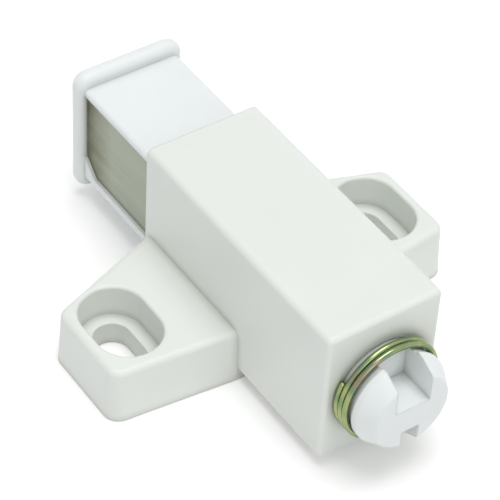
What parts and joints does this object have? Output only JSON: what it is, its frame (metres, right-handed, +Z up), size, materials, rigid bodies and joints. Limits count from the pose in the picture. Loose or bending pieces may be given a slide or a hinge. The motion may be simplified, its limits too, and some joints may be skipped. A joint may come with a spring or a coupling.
{
  "type": "push to open catch",
  "caption": "Surface-mounted push to open catch with a magnetic, spring-loaded plunger in a moulded housing with slotted screw ears.",
  "frame": {"origin": "midway between the two screw slots, in the mounting face", "axes": "+Z up from the mounting face, -Y out of the plunger's head, +X to the housing's side along the row of screws"},
  "size_m": [0.0432, 0.0542, 0.0185],
  "materials": {
    "housing_plastic": "satin",
    "plunger_plastic": "satin",
    "pole_steel": "satin",
    "zinc_wire": "satin",
    "spring_steel": "satin",
    "magnet_ferrite": "matt"
  },
  "bodies": {
    "housing_body": {"housing": "housing_plastic"},
    "plunger_body": {"plunger": "plunger_plastic", "pole_plate_left": "pole_steel", "pole_plate_right": "pole_steel", "magnet": "magnet_ferrite", "stop_coil": "zinc_wire", "ejector_spring": "spring_steel"},
    "follower_body": {"latch_follower": "spring_steel"}
  },
  "joints": [
    {"name": "plunger_slide", "type": "slide", "parent": "housing_body", "child": "plunger_body", "axis": [0, 1, 0], "range_m": [0, 0.0135], "stiffness_N_per_m": 150, "springref_m": -0.012, "deforming": ["ejector_spring"]},
    {"name": "follower_swing", "type": "hinge", "parent": "housing_body", "child": "follower_body", "pos_m": [0, 0.005, 0.00235], "axis": [0, 0, -1], "range_deg": [0, 18.4]}
  ]
}
